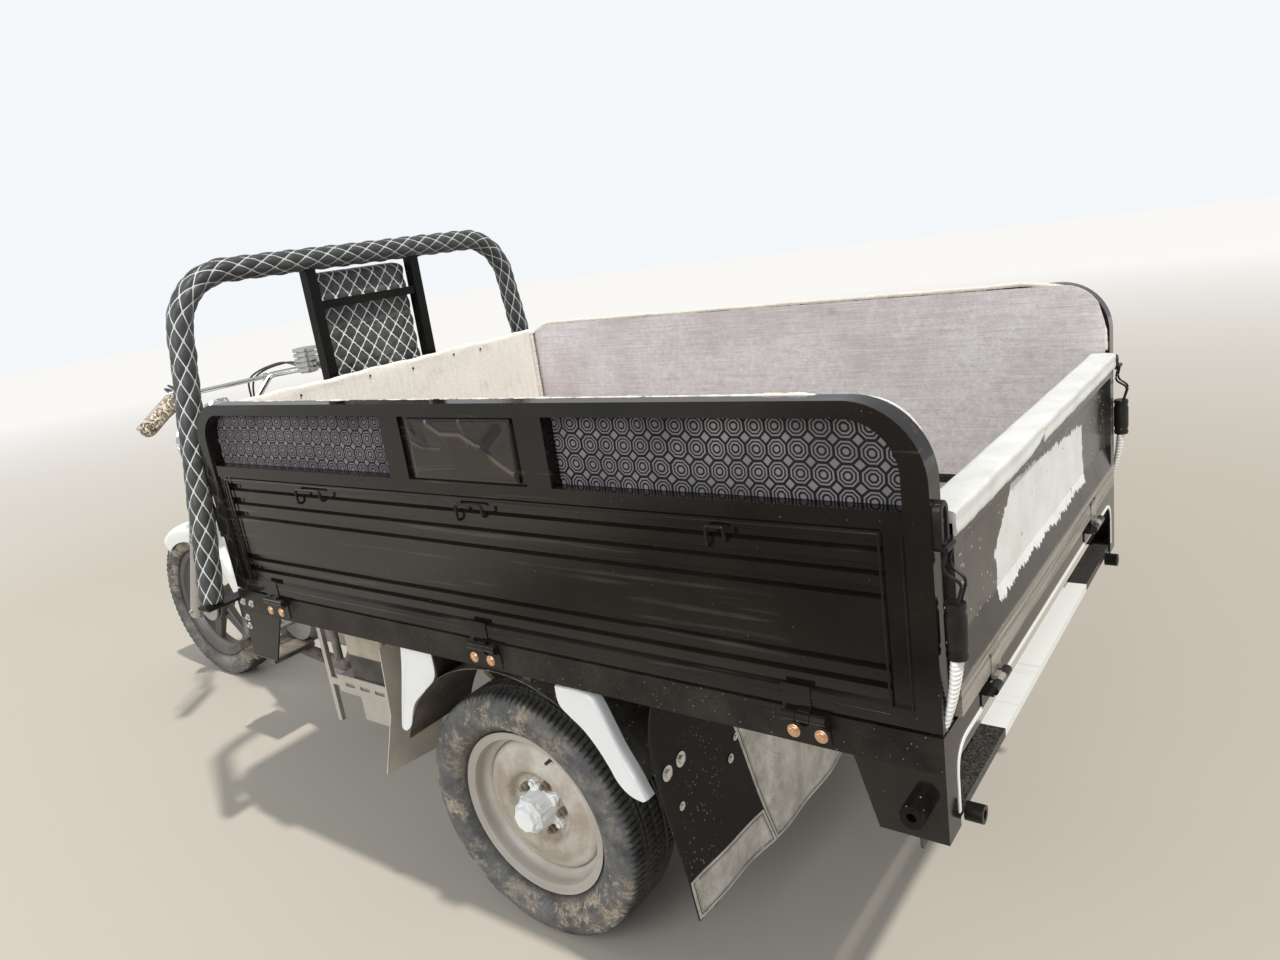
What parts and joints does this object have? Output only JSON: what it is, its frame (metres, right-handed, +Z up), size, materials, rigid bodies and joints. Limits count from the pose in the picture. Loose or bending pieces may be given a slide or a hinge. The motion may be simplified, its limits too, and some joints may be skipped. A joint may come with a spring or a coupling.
{
  "type": "cargo motor tricycle",
  "caption": "Cargo motor tricycle: single steered front wheel, rider's seat, and a drop-sided load bed over a rear axle.",
  "frame": {"origin": "on the ground under the middle of the vehicle's length and width", "axes": "+X ahead, +Y to the rider's left, +Z up"},
  "size_m": [3.4327, 1.3586, 1.546],
  "materials": {
    "frame_paint": "satin black paint, dusty",
    "engine_alloy": "cast, dusty",
    "exhaust_steel": "heat stained",
    "raw_steel": "oily and dusty",
    "spring_steel": "black, rusty edges",
    "white_paint": "gloss white",
    "seat_vinyl": "black vinyl",
    "gloss_black": "gloss black enamel",
    "panel_black": "gloss black enamel, pressed sheet",
    "black_plastic": "moulded black",
    "zinc_steel": "zinc plated, dusty",
    "floor_steel": "worn grey paint",
    "cream_cloth": "cream felt, stained",
    "quilted_vinyl": "black vinyl quilted with white thread",
    "rubber": "moulded rubber",
    "white_plastic": "moulded white",
    "rubber_sheet": "dusty sheet rubber",
    "fork_alloy": "cast and turned",
    "chrome": "bright plated",
    "grip_cloth": "patterned cloth cover",
    "lamp_glass": "clear",
    "tyre_rubber": "dusty",
    "cast_alloy": "grey cast wheel, muddy",
    "cream_steel": "dusty cream paint with rust",
    "hub_paint": "white cap on a rusty drum",
    "carpet": "mauve grey carpet",
    "latch_steel": "black and white toggles",
    "cap_vinyl": "white padded vinyl"
  },
  "bodies": {
    "chassis": {"chassis_frame": "frame_paint", "engine": "engine_alloy", "exhaust": "exhaust_steel", "propshaft": "raw_steel", "rear_axle": "raw_steel", "leaf_springs": "spring_steel", "fuel_tank": "white_paint", "rider_seat": "seat_vinyl", "seat_base": "gloss_black", "footboards": "frame_paint", "foot_pedals": "raw_steel", "battery_box": "black_plastic", "battery_carrier": "zinc_steel", "bed_frame": "gloss_black", "rear_skirt": "gloss_black", "front_corner_legs": "gloss_black", "bed_floor": "floor_steel", "headboard": "gloss_black", "headboard_lining": "cream_cloth", "guard_hoop": "quilted_vinyl", "backrest_frame": "gloss_black", "backrest_pad": "quilted_vinyl", "rear_bumper": "white_paint", "rubber_buffers": "rubber", "wheel_arches": "frame_paint", "fender_ends": "white_plastic", "rear_mud_flap": "rubber_sheet", "front_mud_flaps": "rubber_sheet", "hinge_plates": "gloss_black"},
    "steering": {"fork": "fork_alloy", "handlebar": "chrome", "hand_grips": "grip_cloth", "headlamp": "chrome", "headlamp_lens": "lamp_glass", "front_fender": "white_paint"},
    "wheel_front": {"front_tyre": "tyre_rubber", "front_wheel": "cast_alloy"},
    "wheel_left": {"rear_tyre_left": "tyre_rubber", "rear_wheel_left": "cream_steel", "rear_hub_left": "hub_paint"},
    "wheel_right": {"rear_tyre_right": "tyre_rubber", "rear_wheel_right": "cream_steel", "rear_hub_right": "hub_paint"},
    "gate_left": {"gate_frame_left": "gloss_black", "gate_panel_left": "panel_black", "gate_lining_left": "carpet", "gate_latches_left": "latch_steel"},
    "gate_right": {"gate_frame_right": "gloss_black", "gate_panel_right": "panel_black", "gate_lining_right": "carpet", "gate_latches_right": "latch_steel"},
    "tail": {"tailgate_frame": "gloss_black", "tailgate_panel": "panel_black", "tailgate_cap": "cap_vinyl"}
  },
  "joints": [
    {"name": "steer", "type": "hinge", "parent": "chassis", "child": "steering", "pos_m": [1.37626, 0, 0.28404], "axis": [-0.454, 0, 0.891], "range_deg": [-40, 40]},
    {"name": "front_roll", "type": "hinge", "parent": "steering", "child": "wheel_front", "pos_m": [1.4119, 0, 0.3022], "axis": [0, 1, 0], "continuous": true},
    {"name": "left_roll", "type": "hinge", "parent": "chassis", "child": "wheel_left", "pos_m": [-0.7381, 0.44, 0.29155], "axis": [0, 1, 0], "continuous": true},
    {"name": "right_roll", "type": "hinge", "parent": "chassis", "child": "wheel_right", "pos_m": [-0.7381, -0.44, 0.29155], "axis": [0, 1, 0], "continuous": true},
    {"name": "left_drop", "type": "hinge", "parent": "chassis", "child": "gate_left", "pos_m": [-0.7381, 0.612, 0.757], "axis": [-1, 0, 0], "range_deg": [0, 155]},
    {"name": "right_drop", "type": "hinge", "parent": "chassis", "child": "gate_right", "pos_m": [-0.7381, -0.612, 0.757], "axis": [1, 0, 0], "range_deg": [0, 155]},
    {"name": "tail_drop", "type": "hinge", "parent": "chassis", "child": "tail", "pos_m": [-1.7111, 0, 0.757], "axis": [0, -1, 0], "range_deg": [0, 155]}
  ]
}
